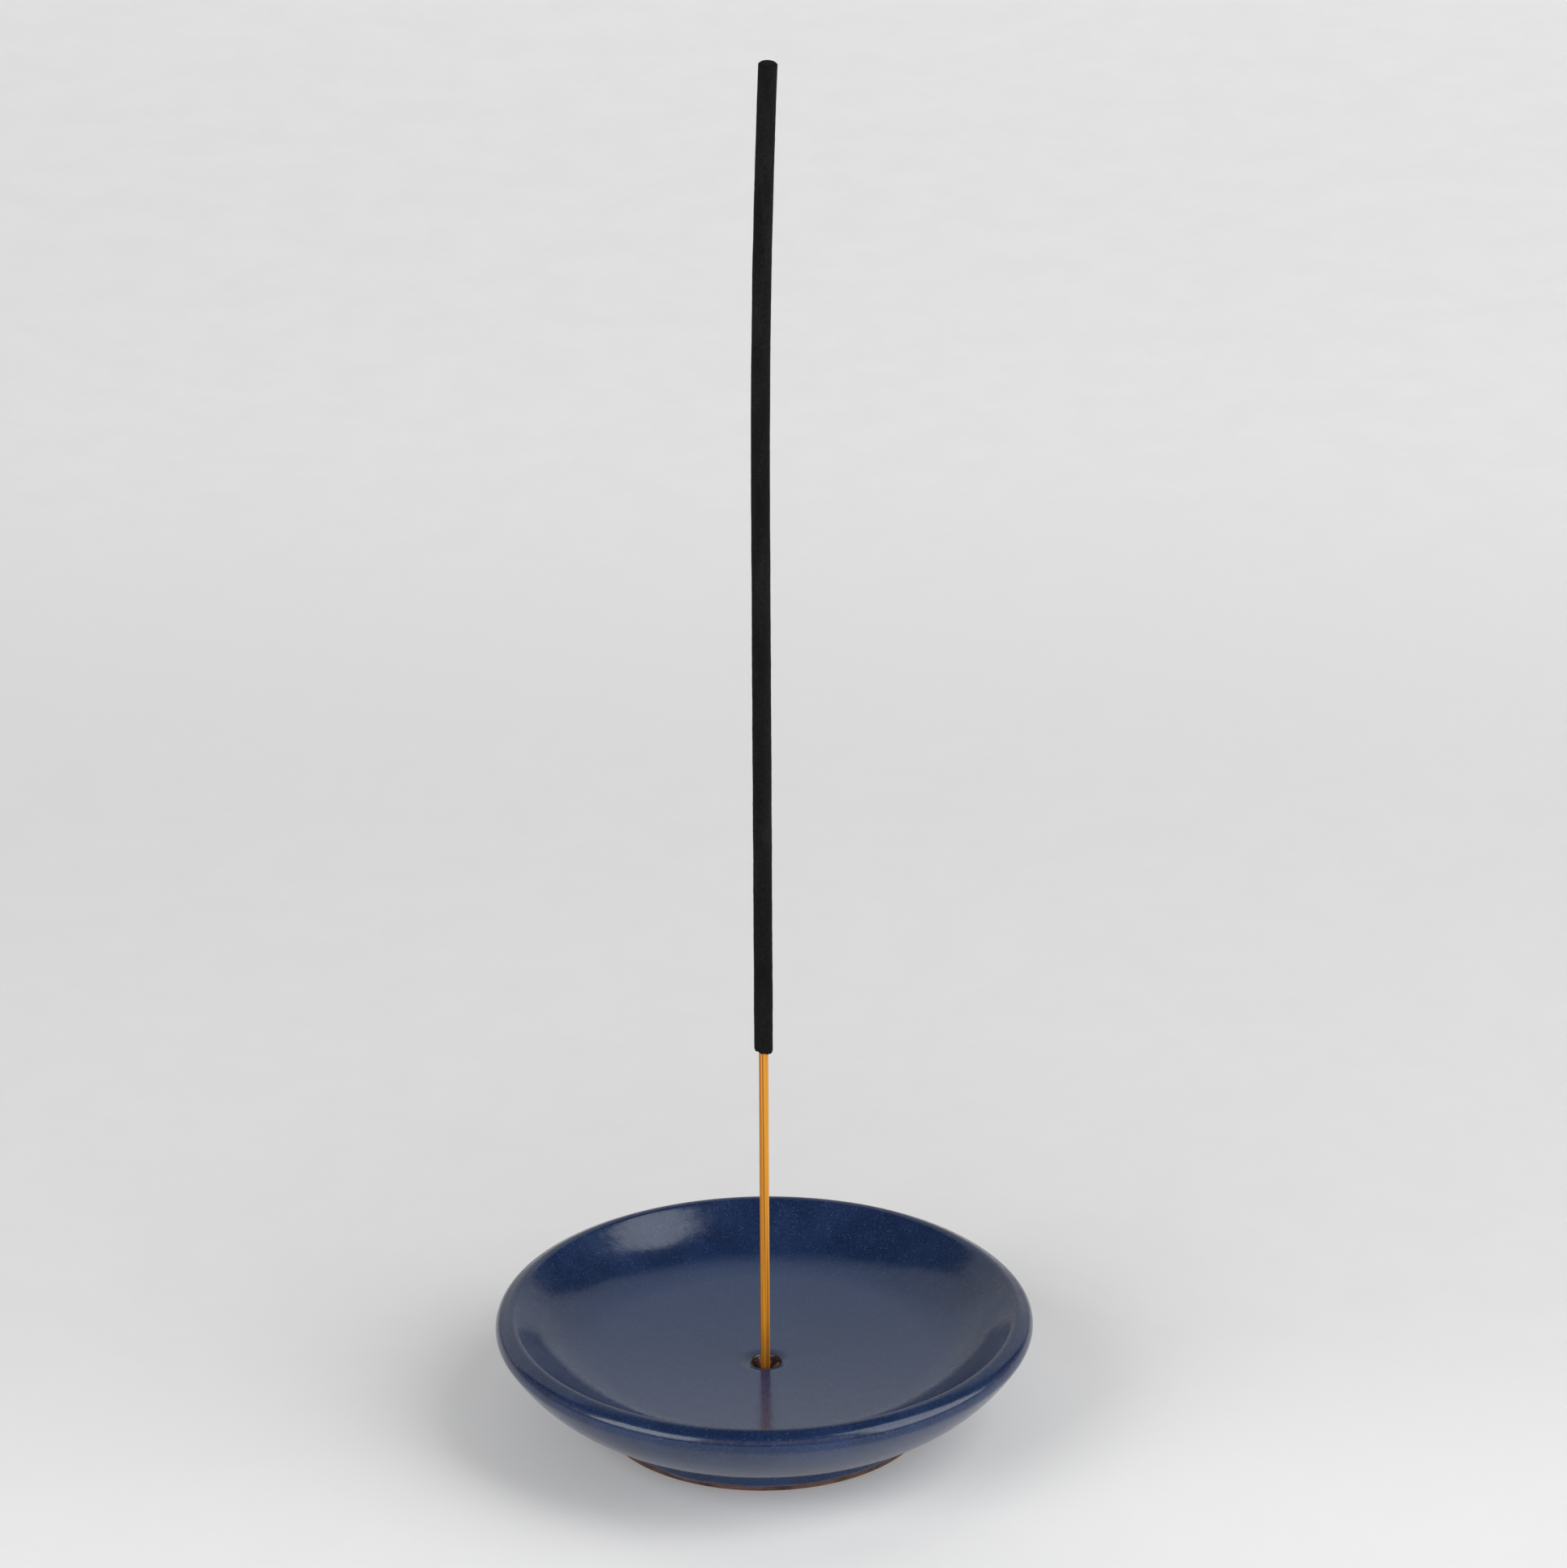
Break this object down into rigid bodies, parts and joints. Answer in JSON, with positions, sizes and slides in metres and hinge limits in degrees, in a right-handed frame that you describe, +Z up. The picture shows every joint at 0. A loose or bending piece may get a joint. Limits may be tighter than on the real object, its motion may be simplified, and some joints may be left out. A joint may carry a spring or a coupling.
{
  "type": "incense burner",
  "caption": "Low round glazed stoneware dish with a trimmed foot ring and a pierced centre hole that holds an incense stick upright and catches its ash.",
  "frame": {"origin": "on the dish's axis, on the surface that the foot ring stands on", "axes": "+Z up along the dish's axis and the stick, -Y towards the viewer, +X to the viewer's right and the way the stick bows"},
  "size_m": [0.102, 0.102, 0.2769],
  "materials": {
    "bare_clay": "matte, unglazed, reddish brown",
    "navy_glaze": "glossy, slightly mottled navy blue",
    "bamboo": "satin, stained amber",
    "incense_paste": "matte, fine grained charcoal powder"
  },
  "bodies": {
    "dish": {"dish_clay": "bare_clay", "glaze_coat": "navy_glaze"},
    "stick": {"bamboo_core": "bamboo", "incense_coat": "incense_paste"}
  },
  "joints": [
    {"name": "stick_lift", "type": "slide", "parent": "dish", "child": "stick", "axis": [0, 0, 1], "range_m": [0, 0.03]}
  ]
}
